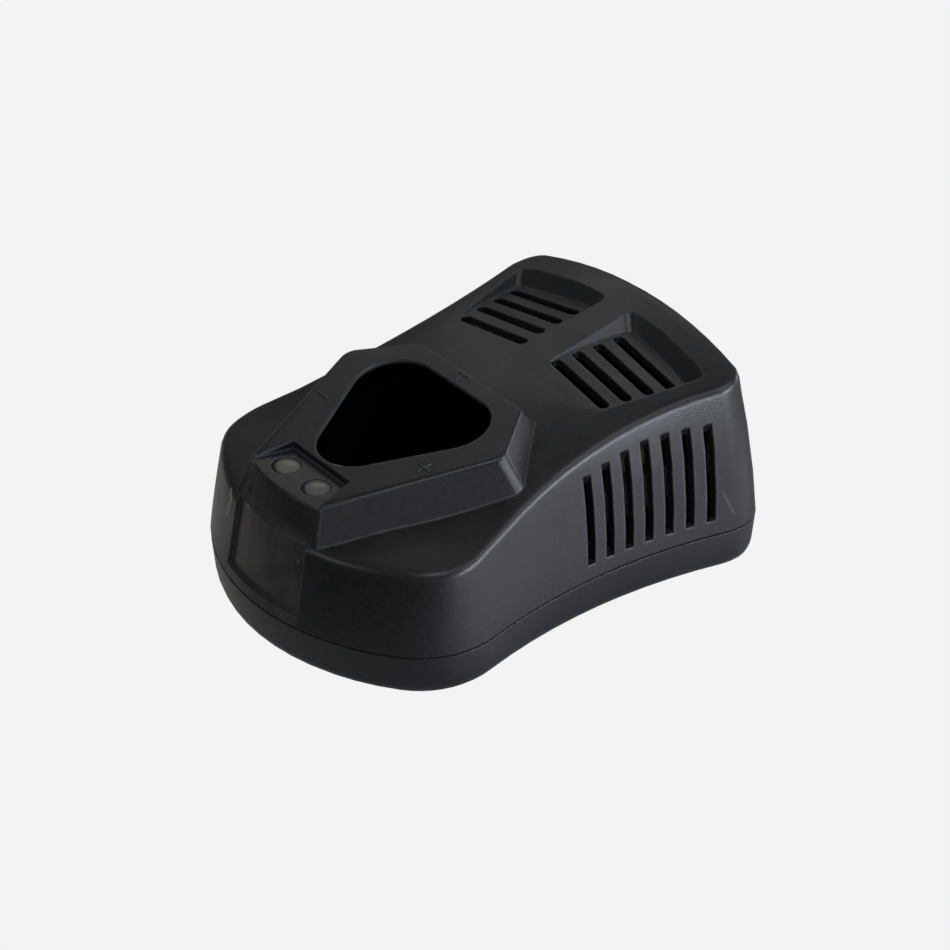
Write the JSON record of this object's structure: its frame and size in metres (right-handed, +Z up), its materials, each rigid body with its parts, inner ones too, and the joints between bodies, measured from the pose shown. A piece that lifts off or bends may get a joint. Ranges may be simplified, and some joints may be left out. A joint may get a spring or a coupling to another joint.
{
  "type": "power tool battery charger",
  "caption": "Desktop charger for a stick-shaped power tool battery: waisted two-shell housing, raised collar with a rounded triangular well, lamps in the nose and louvred vents.",
  "frame": {"origin": "on the table, under the middle of the housing's outline", "axes": "+Z up, -Y towards the nose with the lamps, +Y towards the mains inlet, +X to the right of someone who faces the nose"},
  "size_m": [0.0956, 0.1272, 0.0552],
  "materials": {
    "housing": "fine matt grain, black",
    "liner": "smooth black",
    "contact_metal": "bright strip",
    "lens": "milky, moulded",
    "board": "green solder mask",
    "led": "clear moulded",
    "blue_wire": "insulated wire",
    "red_wire": "insulated wire",
    "sheet": "thin clear sheet",
    "ferrite": "ground ferrite",
    "dark_part": "moulded part",
    "tape": "yellow polyester tape",
    "capacitor_sleeve": "shrunk sleeve",
    "choke": "enamelled winding",
    "box_capacitor": "potted box",
    "sink_metal": "extruded",
    "bright_metal": "zinc plated",
    "foot_rubber": "soft black"
  },
  "bodies": {
    "charger": {"base_shell": "housing", "top_shell": "housing", "battery_well": "liner", "contact_blocks": "liner", "charge_lens": "lens", "status_lens": "lens", "lamp_board": "board", "lamp_leds": "led", "lamp_wires": "blue_wire", "contact_wires": "red_wire", "circuit_board": "board", "insulating_sheet": "sheet", "transformer_core": "ferrite", "transformer_bobbin": "dark_part", "transformer_tape": "tape", "mains_capacitor": "capacitor_sleeve", "output_capacitors": "capacitor_sleeve", "filter_choke": "choke", "filter_capacitor": "box_capacitor", "fuse": "dark_part", "bridge_rectifier": "dark_part", "heat_sink": "sink_metal", "power_transistors": "dark_part", "control_chips": "dark_part", "inlet_body": "liner", "inlet_pins": "bright_metal", "housing_screws": "bright_metal", "board_screws": "bright_metal", "lamp_screws": "bright_metal", "rubber_feet": "foot_rubber"},
    "contact_negative_spring": {"contact_negative": "contact_metal"},
    "contact_thermistor_spring": {"contact_thermistor": "contact_metal"},
    "contact_positive_spring": {"contact_positive": "contact_metal"}
  },
  "joints": [
    {"name": "contact_negative_flex", "type": "hinge", "parent": "charger", "child": "contact_negative_spring", "pos_m": [-0.01745, -0.02431, 0.01237], "axis": [0.5, -0.8549, -0.1385], "range_deg": [0, 8], "stiffness_Nm_per_rad": 0.24},
    {"name": "contact_thermistor_flex", "type": "hinge", "parent": "charger", "child": "contact_thermistor_spring", "pos_m": [0, 0.00552, 0.0172], "axis": [-1, 0, 0], "range_deg": [0, 8], "stiffness_Nm_per_rad": 0.24},
    {"name": "contact_positive_flex", "type": "hinge", "parent": "charger", "child": "contact_positive_spring", "pos_m": [0.01745, -0.02431, 0.01237], "axis": [0.5, 0.8549, 0.1385], "range_deg": [0, 8], "stiffness_Nm_per_rad": 0.24}
  ]
}
